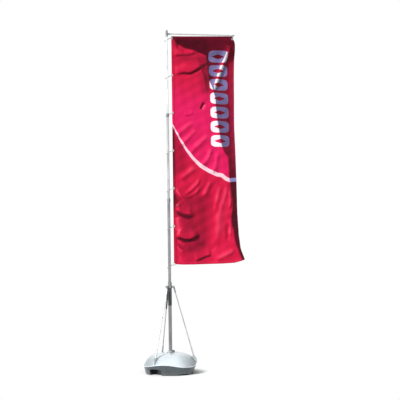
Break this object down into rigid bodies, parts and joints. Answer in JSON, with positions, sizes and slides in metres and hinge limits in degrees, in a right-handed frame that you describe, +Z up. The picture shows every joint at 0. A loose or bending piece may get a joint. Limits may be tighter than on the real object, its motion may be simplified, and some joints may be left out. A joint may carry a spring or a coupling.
{
  "type": "banner flagpole",
  "caption": "Telescopic banner flagpole with a turning head, an arm and a hung flag on rings, stayed to a water-filled ballast base.",
  "frame": {"origin": "on the mast's axis at ground level, in the plane of the tank's feet", "axes": "+Z up the mast, +X along the arm and the flag at rest"},
  "size_m": [1.4819, 0.7611, 4.9995],
  "materials": {
    "tank_plastic": "gloss",
    "dark_plastic": "satin",
    "lock_plastic": "satin",
    "ring_plastic": "satin",
    "cap_plastic": "satin",
    "mast_metal": "satin",
    "stay_metal": "satin",
    "flag_satin": "satin"
  },
  "bodies": {
    "base": {"ballast_tank": "tank_plastic", "socket_collar": "dark_plastic", "filler_cap": "dark_plastic", "stay_collar": "dark_plastic", "mast_section_1": "mast_metal", "lock_collar_1": "lock_plastic", "stay_rod_1": "stay_metal", "stay_top_1": "stay_metal", "stay_foot_1": "stay_metal", "stay_knob_1": "dark_plastic", "stay_anchor_1": "lock_plastic", "stay_rod_2": "stay_metal", "stay_top_2": "dark_plastic", "stay_foot_2": "stay_metal", "stay_knob_2": "dark_plastic", "stay_anchor_2": "lock_plastic", "stay_rod_3": "stay_metal", "stay_top_3": "dark_plastic", "stay_foot_3": "stay_metal", "stay_knob_3": "dark_plastic", "stay_anchor_3": "lock_plastic"},
    "mast_2": {"mast_section_2": "mast_metal", "guide_bush_2": "dark_plastic", "lock_collar_2": "lock_plastic"},
    "mast_3": {"mast_section_3": "mast_metal", "guide_bush_3": "dark_plastic", "lock_collar_3": "lock_plastic"},
    "mast_4": {"mast_section_4": "mast_metal", "guide_bush_4": "dark_plastic", "top_plug": "dark_plastic"},
    "flag_head": {"swivel_hub": "dark_plastic", "finial": "cap_plastic", "arm_tube": "mast_metal", "arm_cap": "dark_plastic", "flag": "flag_satin", "flag_ring_1": "ring_plastic"},
    "ring_2": {"flag_ring_2": "ring_plastic"},
    "ring_3": {"flag_ring_3": "ring_plastic"},
    "ring_4": {"flag_ring_4": "ring_plastic"},
    "ring_5": {"flag_ring_5": "ring_plastic"},
    "ring_6": {"flag_ring_6": "ring_plastic"},
    "ring_7": {"flag_ring_7": "ring_plastic"}
  },
  "joints": [
    {"name": "lower_slide", "type": "slide", "parent": "base", "child": "mast_2", "axis": [0, 0, 1], "range_m": [-0.825, 0], "deforming": ["flag"]},
    {"name": "middle_slide", "type": "slide", "parent": "mast_2", "child": "mast_3", "axis": [0, 0, 1], "range_m": [-1.19, 0]},
    {"name": "upper_slide", "type": "slide", "parent": "mast_3", "child": "mast_4", "axis": [0, 0, 1], "range_m": [-1.12, 0]},
    {"name": "head_swivel", "type": "hinge", "parent": "mast_4", "child": "flag_head", "pos_m": [0, 0, 4.93], "axis": [0, 0, 1], "continuous": true},
    {"name": "ring_slide_2", "type": "slide", "parent": "flag_head", "child": "ring_2", "axis": [0, 0, 1], "range_m": [0, 0.5104]},
    {"name": "ring_slide_3", "type": "slide", "parent": "flag_head", "child": "ring_3", "axis": [0, 0, 1], "range_m": [0, 0.997]},
    {"name": "ring_slide_4", "type": "slide", "parent": "flag_head", "child": "ring_4", "axis": [0, 0, 1], "range_m": [0, 1.4837]},
    {"name": "ring_slide_5", "type": "slide", "parent": "flag_head", "child": "ring_5", "axis": [0, 0, 1], "range_m": [0, 1.9703]},
    {"name": "ring_slide_6", "type": "slide", "parent": "flag_head", "child": "ring_6", "axis": [0, 0, 1], "range_m": [0, 2.457]},
    {"name": "ring_slide_7", "type": "slide", "parent": "flag_head", "child": "ring_7", "axis": [0, 0, 1], "range_m": [0, 2.9436]}
  ],
  "couplings": [
    {"joint": "middle_slide", "follows": "lower_slide", "ratio": 1.4424},
    {"joint": "upper_slide", "follows": "lower_slide", "ratio": 1.3576},
    {"joint": "ring_slide_2", "follows": "lower_slide", "ratio": -0.61867},
    {"joint": "ring_slide_3", "follows": "lower_slide", "ratio": -1.2085},
    {"joint": "ring_slide_4", "follows": "lower_slide", "ratio": -1.7984},
    {"joint": "ring_slide_5", "follows": "lower_slide", "ratio": -2.3882},
    {"joint": "ring_slide_6", "follows": "lower_slide", "ratio": -2.9782},
    {"joint": "ring_slide_7", "follows": "lower_slide", "ratio": -3.568}
  ]
}
